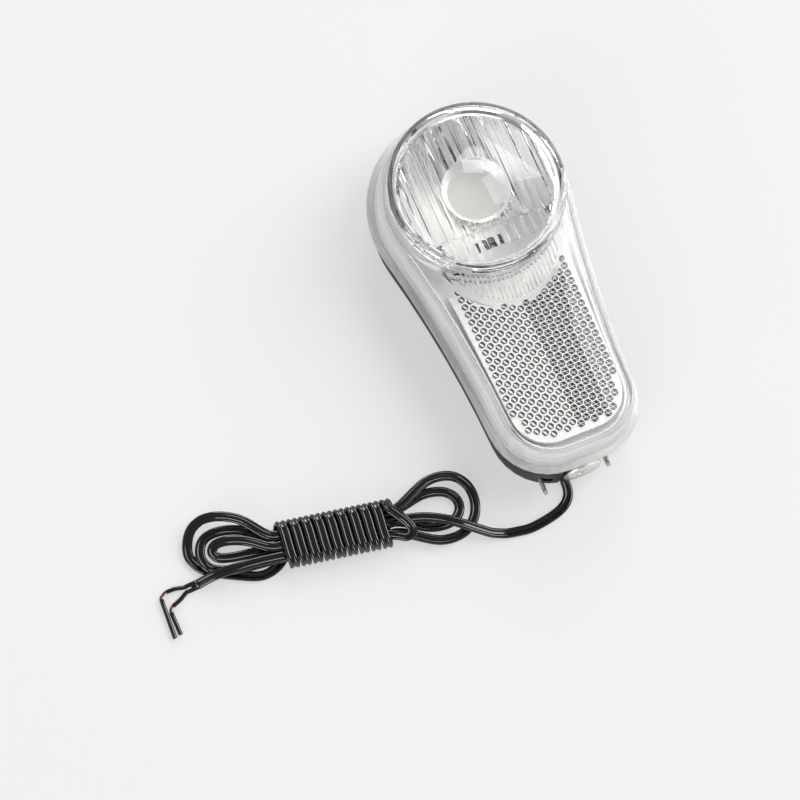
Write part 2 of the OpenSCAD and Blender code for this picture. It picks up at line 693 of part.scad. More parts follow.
module bolt_washer() {
    color([0.8, 0.8, 0.78]) difference() {
        along_y([bolt_x, washer_y, bolt_z]) cylinder(d = washer_d, h = washer_t);
        along_y([bolt_x, washer_y + 1, bolt_z]) cylinder(d = bolt_d + 2 * run_fit, h = washer_t + 2);
    }
}

module fixing_bolt() {
    color([0.85, 0.83, 0.78]) along_y([bolt_x, head_in_y, bolt_z]) difference() {
        union() {
            cylinder(d = bolt_head_d - 0.6, h = head_t);
            translate([0, 0, 0.3]) cylinder(d = bolt_head_d, h = head_t - 0.6);
            translate([0, 0, -shank_l]) cylinder(d = bolt_d, h = shank_l + 0.5);
        }
        translate([0, 0, head_t - 0.9]) cylinder(d = 3.46, h = 2, $fn = 6);
    }
}

module cord_lead() {
    color([0.06, 0.06, 0.06]) tube(flat_rings(smooth(lead_route, 3), twin_section()));
}

module cord_hank() {
    color([0.06, 0.06, 0.06]) tube(hank_rings);
}

module cord_binding() {
    color([0.07, 0.07, 0.07]) tube(bind_all);
}

module cord_tail() {
    color([0.06, 0.06, 0.06]) tube(flat_rings(smooth(tail_route, 2), twin_section()));
}

module cord_core_a() {
    color([0.06, 0.06, 0.06]) tube(flat_rings(smooth(core_a_route, 3), core_section(strand_d - 0.02)));
}

module cord_core_b() {
    color([0.06, 0.06, 0.06]) tube(flat_rings(smooth(core_b_route, 3), core_section(strand_d - 0.02)));
}

// Bared copper between the end of a core and the slug of covering left on its tip
module copper_end(core, slug_from, slug_to) {
    n = len(core);
    e = core[n - 1];
    t = unit(e - core[n - 2]);
    u = unit(slug_to - slug_from);
    a = e + 0.03 * t;
    d = slug_from - 0.08 * u;
    reach = norm(d - a) / 2.6;
    route = [for (i = [0:8]) bow(a, a + reach * t, d - reach * u, d, i / 8)];
    tube(flat_rings([for (p = route) hank(p)], core_section(copper_d)));
}

module copper_end_a() {
    color([0.8, 0.45, 0.25]) copper_end(core_a_local, slug_a_from, slug_a_to);
}

module copper_end_b() {
    color([0.8, 0.45, 0.25]) copper_end(core_b_local, slug_b_from, slug_b_to);
}

module end_slug(from, to) {
    a = hank(from);
    b = hank(to);
    translate(a) rotate([0, 0, bearing(a, b)]) rotate([0, 90, 0]) difference() {
        cylinder(d = strand_d, h = norm(b - a), $fn = 32);
        translate([0, 0, norm(b - a) - 1.5]) cylinder(d = copper_d, h = 3, $fn = 24);
    }
}

module end_slug_a() {
    color([0.06, 0.06, 0.06]) end_slug(slug_a_from, slug_a_to);
}

module end_slug_b() {
    color([0.06, 0.06, 0.06]) end_slug(slug_b_from, slug_b_to);
}

rear_housing();
front_cover();
window_lens();
prism_plate();
prism_backing();
lamp_reflector();
led_board();
led_emitter();
heat_sink();
control_board();
smoothing_capacitor();
rectifier_diodes();
led_wires();
tail_tab_left();
tail_tab_right();
captive_nut();
bolt_washer();
fixing_bolt();
cord_lead();
cord_hank();
cord_binding();
cord_tail();
cord_core_a();
cord_core_b();
copper_end_a();
copper_end_b();
end_slug_a();
end_slug_b();
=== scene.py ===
"""Dynamo headlight for a bicycle: the clear front, the lamp head, the reflector field and the bound
twin lead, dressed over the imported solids. Lengths are in metres, in the frame of the solids."""

import math

import bmesh
import bpy
from mathutils import Matrix, Vector


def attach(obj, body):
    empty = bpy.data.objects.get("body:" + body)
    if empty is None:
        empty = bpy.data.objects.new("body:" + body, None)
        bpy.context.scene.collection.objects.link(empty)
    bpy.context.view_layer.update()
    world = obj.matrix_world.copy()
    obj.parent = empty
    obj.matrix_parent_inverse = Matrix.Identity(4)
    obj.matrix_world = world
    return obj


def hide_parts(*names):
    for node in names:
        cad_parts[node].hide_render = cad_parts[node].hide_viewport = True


bl_info = {
    "name": "Dynamo Headlight",
    "version": (1, 0, 0),
    "blender": (4, 5, 0),
    "location": "View3D > Sidebar > Headlight",
    "description": "Dresses the solids of a bicycle headlight with finished surfaces and a studio stage",
    "category": "Object",
}

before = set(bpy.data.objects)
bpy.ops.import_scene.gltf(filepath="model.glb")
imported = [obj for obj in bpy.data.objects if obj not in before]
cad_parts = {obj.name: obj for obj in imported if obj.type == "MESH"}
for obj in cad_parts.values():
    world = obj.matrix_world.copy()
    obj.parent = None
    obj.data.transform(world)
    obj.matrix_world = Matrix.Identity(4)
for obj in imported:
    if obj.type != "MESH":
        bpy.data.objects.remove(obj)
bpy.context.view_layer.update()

MM = 0.001
LAMP = "lamp"
WASHER = "washer"
BOLT = "bolt"

# Sizes of the solids, in millimetres
HEAD_Y, HEAD_R = 27.0, 30.0
TONGUE_Y, TONGUE_R = 10.9, 18.6
PART_Z = 15.0
DECK_UNDER = 23.5
RIM_Z, RIM_R = 34.0, 25.4
PLATE_TOP = 23.3
FIELD_FOOT = -48.0
NOTCH_Y = -51.6
CORNER_Y = -37.5
BOTTOM_Y = -55.0
CORE = 1.3
WEB = 0.35

# Finishing: lengths in millimetres, with the far side of the rim counted from the head's axis
# RIM_FAR marks where the dark painted shade on the far side of the rim begins
RIM_FAR = -4.0
FLANGE_LIFT = 0.06
CELL_RISE = 0.17
CELL_GAP = 0.01
COLUMNS, ROWS = 10, 24
MERGE = 2e-6
FLAT_ANGLE = math.radians(0.4)
SHARP_ANGLE = math.radians(24)
ACRYLIC_IOR = 1.49
LIGHT_THROUGH = 0.93
FLOOR_GLOW = 0.58


# Settings

class LeadSettings(bpy.types.PropertyGroup):
    """The twin lead"""
    strand: bpy.props.FloatProperty(
        name="Core", description="Diameter of one core", default=CORE * MM, unit="LENGTH")
    web: bpy.props.FloatProperty(
        name="Web", description="Width of the web between the cores", default=WEB * MM, unit="LENGTH")
    copper: bpy.props.FloatProperty(
        name="Copper", description="Diameter of the bared copper", default=0.8 * MM, unit="LENGTH")
    colour: bpy.props.FloatVectorProperty(
        name="Covering", description="Colour of the covering", default=(0.006, 0.006, 0.0065),
        size=3, min=0, max=1, subtype="COLOR")
    copper_colour: bpy.props.FloatVectorProperty(
        name="Copper", description="Colour of the copper", default=(0.27, 0.14, 0.085),
        size=3, min=0, max=1, subtype="COLOR")


class BodySettings(bpy.types.PropertyGroup):
    """The housing, the clear front and the metal parts"""
    edge: bpy.props.FloatProperty(
        name="Moulded edge", description="Rounding of moulded edges", default=0.16 * MM, unit="LENGTH")
    metal_edge: bpy.props.FloatProperty(
        name="Metal edge", description="Rounding of stamped and turned edges", default=0.12 * MM,
        unit="LENGTH")
    housing: bpy.props.FloatVectorProperty(
        name="Housing", description="Colour of the rear housing", default=(0.020, 0.020, 0.021),
        size=3, min=0, max=1, subtype="COLOR")
    clear: bpy.props.FloatVectorProperty(
        name="Clear moulding", description="Tint of the clear front", default=(0.97, 0.975, 0.97),
        size=3, min=0, max=1, subtype="COLOR")
    frost: bpy.props.FloatVectorProperty(
        name="Frosted inside", description="Colour of the matt faces inside the clear front",
        default=(0.95, 0.95, 0.945), size=3, min=0, max=1, subtype="COLOR")
    tray: bpy.props.FloatVectorProperty(
        name="Light tray", description="Colour of the tray behind the clear front",
        default=(0.93, 0.93, 0.92), size=3, min=0, max=1, subtype="COLOR")
    plating: bpy.props.FloatVectorProperty(
        name="Plating", description="Colour of the plated bolt", default=(0.90, 0.87, 0.82),
        size=3, min=0, max=1, subtype="COLOR")


class FieldSettings(bpy.types.PropertyGroup):
    """The prismatic reflector"""
    pitch: bpy.props.FloatProperty(
        name="Cell pitch", description="Distance between neighbouring prism cells", default=2.4 * MM,
        unit="LENGTH")
    depth: bpy.props.FloatProperty(
        name="Cell depth", description="Depth of a cell's hollow face", default=0.14 * MM, unit="LENGTH")
    # The facets' dark tones are painted shade, darker on the right half than on the left
    painted_shade_right: bpy.props.FloatVectorProperty(
        name="Right facets", description="Tone of the facets on the right half",
        default=(0.046, 0.046, 0.045), size=3, min=0, max=1, subtype="COLOR")
    painted_shade_left: bpy.props.FloatVectorProperty(
        name="Left facets", description="Tone of the facets on the left half",
        default=(0.090, 0.088, 0.086), size=3, min=0, max=1, subtype="COLOR")
    ground: bpy.props.FloatVectorProperty(
        name="Ground", description="Tone of the frames between the facets",
        default=(0.86, 0.86, 0.85), size=3, min=0, max=1, subtype="COLOR")


class StageSettings(bpy.types.PropertyGroup):
    """Floor, light and camera"""
    floor: bpy.props.FloatVectorProperty(
        name="Floor", description="Colour of the floor", default=(0.90, 0.90, 0.90),
        size=3, min=0, max=1, subtype="COLOR")
    key: bpy.props.FloatProperty(
        name="Key light", description="Power of the key light", default=70.0, subtype="POWER")
    back: bpy.props.FloatProperty(
        name="Back light", description="Power of the light behind", default=24.0, subtype="POWER")
    fill: bpy.props.FloatProperty(
        name="Fill light", description="Power of the low light from the left", default=32.0,
        subtype="POWER")
    sky: bpy.props.FloatProperty(
        name="Sky", description="Strength of the light from all round", default=1.0)
    lens: bpy.props.FloatProperty(
        name="Lens", description="Focal length in millimetres", default=141.75,
        subtype="DISTANCE_CAMERA")


# Helpers for objects and meshes

def deselect():
    if bpy.context.object is not None and bpy.context.object.mode != "OBJECT":
        bpy.ops.object.mode_set(mode="OBJECT")
    bpy.ops.object.select_all(action="DESELECT")


def take(piece):
    """Makes a piece the only one selected, and the active one."""
    deselect()
    piece.select_set(True)
    bpy.context.view_layer.objects.active = piece
    return piece


def apply_place(piece):
    take(piece)
    bpy.ops.object.transform_apply(location=True, rotation=True, scale=True)
    return piece


def apply_modifiers(piece):
    take(piece)
    for modifier in list(piece.modifiers):
        bpy.ops.object.modifier_apply(modifier=modifier.name)
    return piece


def dress(piece, material, body, *nodes, slot):
    """Gives a piece its surface and its body, in place of the solids that it stands for."""
    piece.data.materials.clear()
    piece.data.materials.append(material)
    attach(piece, body)
    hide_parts(*nodes)
    return piece


def moulded_copy(solid, name, edge=0.0, smooth=30.0, rounds=2):
    """A copy of a solid's mesh, merged, with its flats cleaned and its edges rounded."""
    piece = bpy.data.objects.new(name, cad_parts[solid].data.copy())
    bpy.context.scene.collection.objects.link(piece)
    take(piece)
    bpy.ops.object.mode_set(mode="EDIT")
    bpy.ops.mesh.select_all(action="SELECT")
    bpy.ops.mesh.remove_doubles(threshold=MERGE)
    bpy.ops.mesh.dissolve_limited(angle_limit=FLAT_ANGLE)
    bpy.ops.object.mode_set(mode="OBJECT")
    if edge:
        bevel = piece.modifiers.new("edge", "BEVEL")
        bevel.width = edge
        bevel.segments = rounds
        bevel.limit_method = "ANGLE"
        bevel.angle_limit = SHARP_ANGLE
        bevel.use_clamp_overlap = True
        bpy.ops.object.modifier_apply(modifier=bevel.name)
    bpy.ops.object.shade_smooth_by_angle(angle=math.radians(smooth))
    return piece


# Helpers for materials

def shader(name):
    material = bpy.data.materials.new(name)
    material.use_nodes = True
    tree = material.node_tree
    return material, tree, tree.nodes["Principled BSDF"], tree.nodes["Material Output"]


def node(tree, kind, **values):
    """A new node. A value whose key starts with i_ goes to the input of that name."""
    made = tree.nodes.new(kind)
    for key, value in values.items():
        if key.startswith("i_"):
            made.inputs[key[2:].replace("_", " ")].default_value = value
        else:
            setattr(made, key, value)
    return made


def object_noise(tree, scale, detail=3.0, stretch=(1, 1, 1)):
    """Noise that lies still on the piece."""
    place = node(tree, "ShaderNodeTexCoord")
    mapping = node(tree, "ShaderNodeMapping", i_Scale=stretch)
    noise = node(tree, "ShaderNodeTexNoise", i_Scale=scale, i_Detail=detail)
    tree.links.new(place.outputs["Object"], mapping.inputs["Vector"])
    tree.links.new(mapping.outputs["Vector"], noise.inputs["Vector"])
    return noise


def spread(tree, source, low, high):
    """Maps a 0 to 1 output onto low to high."""
    made = node(tree, "ShaderNodeMapRange", i_To_Min=low, i_To_Max=high)
    tree.links.new(source, made.inputs["Value"])
    return made.outputs["Result"]


def graded(tree, source, *stops):
    """Maps an output onto a blend between two colours, each with its place."""
    ramp = node(tree, "ShaderNodeValToRGB")
    for element, (place, colour) in zip(ramp.color_ramp.elements, stops):
        element.position = place
        element.color = (*colour, 1)
    tree.links.new(source, ramp.inputs["Fac"])
    return ramp.outputs["Color"]


def relief(tree, principled, height, strength, distance):
    bump = node(tree, "ShaderNodeBump", i_Strength=strength, i_Distance=distance)
    tree.links.new(height, bump.inputs["Height"])
    tree.links.new(bump.outputs["Normal"], principled.inputs["Normal"])


def shaded(colour, factor):
    return tuple(min(1.0, c * factor) for c in colour)


def varied(colour, vary):
    """A darker and a lighter tone on either side of a colour."""
    return shaded(colour, 1 - vary), shaded(colour, 1 + vary)


def paint(tree, principled, source, tones):
    """Colours a surface between two tones."""
    blend = graded(tree, source, *zip((0.3, 0.7), tones))
    tree.links.new(blend, principled.inputs["Base Color"])


def gloss(tree, principled, source, low, high):
    """Varies the roughness of a surface."""
    tree.links.new(spread(tree, source, low, high), principled.inputs["Roughness"])


def moulded_plastic(name, colour, roughness=0.5, grain=2600.0, depth=0.25, vary=0.08):
    """Opaque moulding with a fine spark-eroded grain and slightly uneven gloss."""
    material, tree, principled, _ = shader(name)
    cloud = object_noise(tree, 90.0)
    fine = object_noise(tree, grain, 2.0)
    paint(tree, principled, cloud.outputs["Fac"], varied(colour, vary))
    gloss(tree, principled, fine.outputs["Fac"], roughness - 0.08, roughness + 0.08)
    relief(tree, principled, fine.outputs["Fac"], depth, 0.05 * MM)
    return material


def clear_plastic(name, tint, roughness=0.03, waves=120.0, depth=0.006, clear=1.0, vary=0.015,
                  stretch=(1, 0.35, 1)):
    """Clear moulding with faint flow waves. Direct light passes through it."""
    material, tree, principled, output = shader(name)
    flow = object_noise(tree, waves, 2.0, stretch)
    paint(tree, principled, flow.outputs["Fac"], (shaded(tint, 1 - vary), tint))
    gloss(tree, principled, flow.outputs["Fac"], roughness * 0.7, roughness * 1.3)
    principled.inputs["IOR"].default_value = ACRYLIC_IOR
    principled.inputs["Transmission Weight"].default_value = clear
    relief(tree, principled, flow.outputs["Fac"], depth, 0.2 * MM)
    path = node(tree, "ShaderNodeLightPath")
    through = node(tree, "ShaderNodeBsdfTransparent",
                   i_Color=(LIGHT_THROUGH, LIGHT_THROUGH, LIGHT_THROUGH, 1))
    mix = node(tree, "ShaderNodeMixShader")
    tree.links.new(path.outputs["Is Shadow Ray"], mix.inputs["Fac"])
    tree.links.new(principled.outputs["BSDF"], mix.inputs[1])
    tree.links.new(through.outputs["BSDF"], mix.inputs[2])
    tree.links.new(mix.outputs["Shader"], output.inputs["Surface"])
    return material


def plated_metal(name, colour, roughness, scale, vary=0.06, lines=(1, 1, 1)):
    """Plated or bare metal with fine tool marks."""
    material, tree, principled, _ = shader(name)
    marks = object_noise(tree, scale, 4.0, lines)
    paint(tree, principled, marks.outputs["Fac"], varied(colour, vary))
    gloss(tree, principled, marks.outputs["Fac"], roughness * 0.75, roughness * 1.25)
    principled.inputs["Metallic"].default_value = 1.0
    relief(tree, principled, marks.outputs["Fac"], 0.08, 0.03 * MM)
    return material


# The twin lead, in millimetres: a hank with its own axes, whose runs pass through slots in the binding

TWIN = 2 * CORE + WEB
LOW = CORE / 2 + 0.12
HANK_AT = Vector((-71.5, -45, 0))
HANK_TURN = math.radians(-9.7)
SLOT = TWIN + 0.3
SLOT_LOW = LOW + CORE + 0.53
SLOT_HIGH = SLOT_LOW + CORE + 0.3
SPREAD = SLOT + 0.3
BIND_PITCH = TWIN + 0.4
BIND_HALF_WIDTH = SLOT + TWIN / 2 + CORE / 2 + 0.925
BIND_HALF_HEIGHT = (SLOT_HIGH + CORE + 0.67 - LOW) / 2
BIND_TURNS = 9
BIND_END = 360 * BIND_TURNS + 130
BIND_STEP = 7.5
BIND_HALF = BIND_PITCH * BIND_END / 720
LOOP = BIND_HALF + 2.8
UP = Vector((0, 0, 1))
BIND_SQUARENESS = 3.4
CORE_SHARE = 0.485
ROUTE_STEPS = 5
EASED_FROM_BINDING = (48, 38, 30, 24)

LEAD_OUT = [
    (-4.5, NOTCH_Y + 2.6, 2.6), (-4.5, NOTCH_Y + 1.1, 2.6), (-4.5, NOTCH_Y - 0.4, 2.35),
    (-4.5, NOTCH_Y - 2.2, 1.45), (-4.5, NOTCH_Y - 4.4, 0.95), (-4.7, BOTTOM_Y - 3, LOW),
    (-6.6, -61, LOW), (-11, -62.4, LOW), (-15, -63, LOW)]
LEAD_TO_HANK = [(55, -9.4, LOW), (53, -9.4, LOW), (51, -9.4, LOW)]
HANK_LEAD = [
    (51, -9.4, LOW), (49, -9.4, LOW), (47, -9.3, LOW), (43.5, -8.4, 1.6), (40, -6.9, 3),
    (36, -4.9, 4.2), (31, -2.5, 4.7), (26, -0.8, 4.5), (LOOP + 2.5, -0.05, SLOT_HIGH + 0.05)]
INNER_LEFT = [
    (-LOOP, 0, SLOT_HIGH), (-27, 5.4, 4), (-34.9, 5.8, 3.4), (-34.9, 2.3, 3.2),
    (-34.9, -1.2, 3), (-27, -0.1, 2.7), (-LOOP, 0, SLOT_LOW)]
INNER_RIGHT = [(LOOP, 0, SLOT_LOW), (42, -13, 0.4), (43, 16, 0.2), (LOOP, SPREAD, SLOT_LOW)]
MIDDLE_LEFT = [
    (-LOOP, SPREAD, SLOT_LOW), (-27, 9.4, 2.4), (-38.3, 9.8, 2.4), (-38.3, 2.4, 2.4),
    (-38.3, -4.6, 2.4), (-30, -4.1, 2.4), (-LOOP, -SLOT - 0.1, SLOT_LOW)]
OUTER_RIGHT = [(LOOP, -SLOT - 0.1, SLOT_LOW), (49, -22, 0), (48, 28, 1.8), (LOOP, SPREAD, SLOT_HIGH)]
OUTER_LEFT = [
    (-LOOP, SPREAD, SLOT_HIGH), (-27, 14.4, 4.2), (-41.6, 15.6, 3.2), (-41.6, 4.4, 1.2),
    (-41.6, -2.8, -0.2), (-33, -3.6, LOW), (-25.5, -6.2, LOW)]
TURN_BACK = [
    (LOOP - 1, 1.7, 6.8), (LOOP + 0.8, -0.5, 6.9), (LOOP + 2.3, -2.7, 6.4),
    (LOOP + 2.4, -4.6, 5.6), (LOOP + 0.7, -5.1, 4.9), (LOOP - 1.7, -4.1, 4.4)]
TUCKED = [(k * BIND_HALF, -SLOT, SLOT_HIGH) for k in (0.85, 0.4, 0, -0.5, -1.05)]
TAIL_RUN = [
    (-LOOP - 2.5, -3.3, 4.3), (-25, -3.5, 4.4), (-29, -3.8, 4.4), (-32.5, -4.1, 4.2),
    (-35.5, -4.45, 3.75), (-38, -4.8, 2.3)]
SPLIT_AT = Vector((-42.5, -5.7, LOW))
SPLIT_ALONG = Vector((-0.975, -0.22, 0)).normalized()
SPLIT_ACROSS = Vector((-SPLIT_ALONG.y, SPLIT_ALONG.x, 0))
CORE_RUNS = {"a": (-1, [(-47, -5.2, LOW), (-49.6, -5.6, LOW)]),
             "b": (1, [(-46.2, -8.5, LOW), (-48.6, -9.9, LOW)])}
SLUGS = {"a": (Vector((-51.4, -7.4, LOW)), Vector((-50, -19, LOW))),
         "b": (Vector((-49.5, -11.6, LOW)), Vector((-48.2, -18.3, LOW)))}


def in_hank(p):
    """A point of the hank's own axes, in millimetres of the lamp's frame."""
    c, s = math.cos(HANK_TURN), math.sin(HANK_TURN)
    return HANK_AT + Vector((p[0] * c - p[1] * s, p[0] * s + p[1] * c, p[2]))


def curve(a, b, c, d, steps):
    """Points of a cubic curve, laid on the ground where it would dip below it."""
    a, b, c, d = Vector(a), Vector(b), Vector(c), Vector(d)
    points = []
    for k in range(steps):
        t = k / steps
        x, y, z = (1 - t) ** 3 * a + 3 * t * (1 - t) ** 2 * b + 3 * t * t * (1 - t) * c + t ** 3 * d
        points.append((x, y, max(z, LOW)))
    return points


def round_loop(p):
    """A loop of the hank as one curve."""
    return curve(*p, 8) + [p[3]]


def long_loop(p):
    """A loop of the hank as two curves, out and back."""
    return curve(*p[:4], 4) + curve(*p[3:], 4) + [p[6]]


def passing(v, z, way):
    """A straight run through the binding."""
    return [(way * k * (BIND_HALF - 2.7), v, z) for k in (1, 0, -1)]


def hank_points():
    return [*HANK_LEAD,
            *passing(0, SLOT_HIGH, 1), *long_loop(INNER_LEFT),
            *passing(0, SLOT_LOW, -1), *round_loop(INNER_RIGHT),
            *passing(SLOT, SLOT_LOW, 1), *long_loop(MIDDLE_LEFT),
            *passing(-SLOT, SLOT_LOW, -1), *round_loop(OUTER_RIGHT),
            *passing(SLOT, SLOT_HIGH, 1), *long_loop(OUTER_LEFT),
            (-LOOP - 2.9, -7.2, LOW)]


def smooth_route(points, steps):
    """Catmull-Rom line through the points."""
    p = [Vector(q) for q in points]
    p = [2 * p[0] - p[1], *p, 2 * p[-1] - p[-2]]
    line = []
    for a, b, c, d in zip(p, p[1:], p[2:], p[3:]):
        for k in range(steps):
            t = k / steps
            line.append(0.5 * (2 * b + (c - a) * t + (2 * a - 5 * b + 4 * c - d) * t ** 2
                               + (3 * b - a - 3 * c + d) * t ** 3))
    return line + [p[-2]]


def eased(line, last, rounds):
    """The line with its bends evened out from its first point, which stays, to a later one."""
    line = list(line)
    for _ in range(rounds):
        line[1:last] = [(a + 2 * b + c) / 4 for a, b, c in zip(line, line[1:last], line[2:])]
    return line


def flat_frames(line):
    """Centre, broad side and upper side of a flat lead along a line."""
    frames = []
    for i, centre in enumerate(line):
        along = (line[min(i + 1, len(line) - 1)] - line[max(i - 1, 0)]).normalized()
        side = UP.cross(along).normalized()
        frames.append((centre, side, along.cross(side)))
    return frames


def squared(x):
    """A sine or cosine that runs round a square with rounded corners."""
    return math.copysign(abs(x) ** (2 / BIND_SQUARENESS), x)


def bind_point(degrees):
    """A point of the binding, in the hank's own axes, after so many degrees of turn."""
    a = math.radians(degrees)
    return Vector((BIND_PITCH * degrees / 360 - BIND_HALF, BIND_HALF_WIDTH * squared(math.sin(a)),
                   LOW + BIND_HALF_HEIGHT - BIND_HALF_HEIGHT * squared(math.cos(a))))


def bind_heading(degrees):
    return (bind_point(degrees + 1) - bind_point(degrees - 1)).normalized()


def turned(v):
    """A direction of the hank's own axes, in the lamp's frame."""
    return in_hank(v) - HANK_AT


def bind_frames(step):
    """Frames of the binding, with the lead lying flat on the hank."""
    frames = []
    for k in range(1, int(BIND_END / step) + 1):
        along = bind_heading(k * step)
        outward = Vector((0, along.z, -along.y)).normalized()
        side = outward.cross(along).normalized()
        frames.append((in_hank(bind_point(k * step)), turned(side), turned(along.cross(side))))
    return frames


def lead_frames():
    """Frames of the whole lead, from the lamp through the hank and the binding to the split."""
    way_in, way_in_along = bind_point(0), bind_heading(0)
    way_out, way_out_along = bind_point(BIND_END), bind_heading(BIND_END)
    lead = [Vector(p) for p in LEAD_OUT] + [in_hank(p) for p in LEAD_TO_HANK]
    hank = [in_hank(p) for p in hank_points()] + [in_hank(way_in - k * way_in_along) for k in (4, 2, 0)]
    tail = [in_hank(way_out + k * way_out_along) for k in (0, 1.2, 2.4)]
    tail += [in_hank(p) for p in TURN_BACK + TUCKED + TAIL_RUN]
    tail += [in_hank(SPLIT_AT - k * SPLIT_ALONG) for k in (2.4, 1.2, 0)]
    route = smooth_route(lead[:-1] + hank, ROUTE_STEPS)
    route = eased(route, ROUTE_STEPS * (len(lead) + 2), 24)
    for last in EASED_FROM_BINDING:
        route = eased(route[::-1], last, 4)[::-1]
    frames = flat_frames(route) + bind_frames(BIND_STEP)
    frames += flat_frames(smooth_route(tail, ROUTE_STEPS))[1:]
    steady = [frames[0]]
    for centre, side, upper in frames[1:]:
        turn = -1 if side.dot(steady[-1][1]) < 0 else 1
        steady.append((centre, turn * side, turn * upper))
    return steady


def twin_section(strand, web):
    """Two round cores side by side, joined by a narrow web."""
    r = CORE_SHARE * strand
    half, steps = 158, 12
    arc = [math.radians(-half + 2 * half / steps * k) for k in range(steps + 1)]
    right = [((strand + web) / 2 + r * math.cos(a), r * math.sin(a)) for a in arc]
    return right + [(-x, -y) for x, y in right]


def round_section(diameter, count=14):
    r, angles = diameter / 2, [math.tau * k / count for k in range(count)]
    return [(r * math.cos(a), r * math.sin(a)) for a in angles]


def swept(name, frames, section):
    """A closed tube through the frames, with its length and its girth in a UV map."""
    n = len(section)
    points = [(c + x * s + y * u) * MM for c, s, u in frames for x, y in section]
    faces = [(i * n + k, i * n + (k + 1) % n, (i + 1) * n + (k + 1) % n, (i + 1) * n + k)
             for i in range(len(frames) - 1) for k in range(n)]
    faces += [tuple(reversed(range(n))), tuple((len(frames) - 1) * n + k for k in range(n))]
    mesh = bpy.data.meshes.new(name)
    mesh.from_pydata(points, [], faces)
    run = [0.0]
    for (a, _, _), (b, _, _) in zip(frames, frames[1:]):
        run.append(run[-1] + (b - a).length * MM)
    uv = mesh.uv_layers.new(name="along")
    for polygon in mesh.polygons:
        for corner in polygon.loop_indices:
            vertex = mesh.loops[corner].vertex_index
            uv.data[corner].uv = (run[vertex // n], (vertex % n) / n)
    piece = bpy.data.objects.new(name, mesh)
    bpy.context.scene.collection.objects.link(piece)
    take(piece)
    bpy.ops.object.mode_set(mode="EDIT")
    bpy.ops.mesh.select_all(action="SELECT")
    bpy.ops.mesh.normals_make_consistent(inside=False)
    bpy.ops.object.mode_set(mode="OBJECT")
    bpy.ops.object.shade_smooth_by_angle(angle=math.radians(50))
    return piece


def soft_covering(name, colour):
    """Extruded black covering: drawn lines along its length and a soft uneven gloss."""
    material, tree, principled, _ = shader(name)
    along = node(tree, "ShaderNodeUVMap", uv_map="along")
    stretch = node(tree, "ShaderNodeMapping", i_Scale=(60, 40, 1))
    lines = node(tree, "ShaderNodeTexNoise", i_Scale=1.0, i_Detail=3.0)
    tree.links.new(along.outputs["UV"], stretch.inputs["Vector"])
    tree.links.new(stretch.outputs["Vector"], lines.inputs["Vector"])
    paint(tree, principled, lines.outputs["Fac"], (shaded(colour, 0.8), shaded(colour, 1.35)))
    gloss(tree, principled, lines.outputs["Fac"], 0.07, 0.12)
    principled.inputs["Specular IOR Level"].default_value = 1.0
    relief(tree, principled, lines.outputs["Fac"], 0.03, 0.05 * MM)
    return material


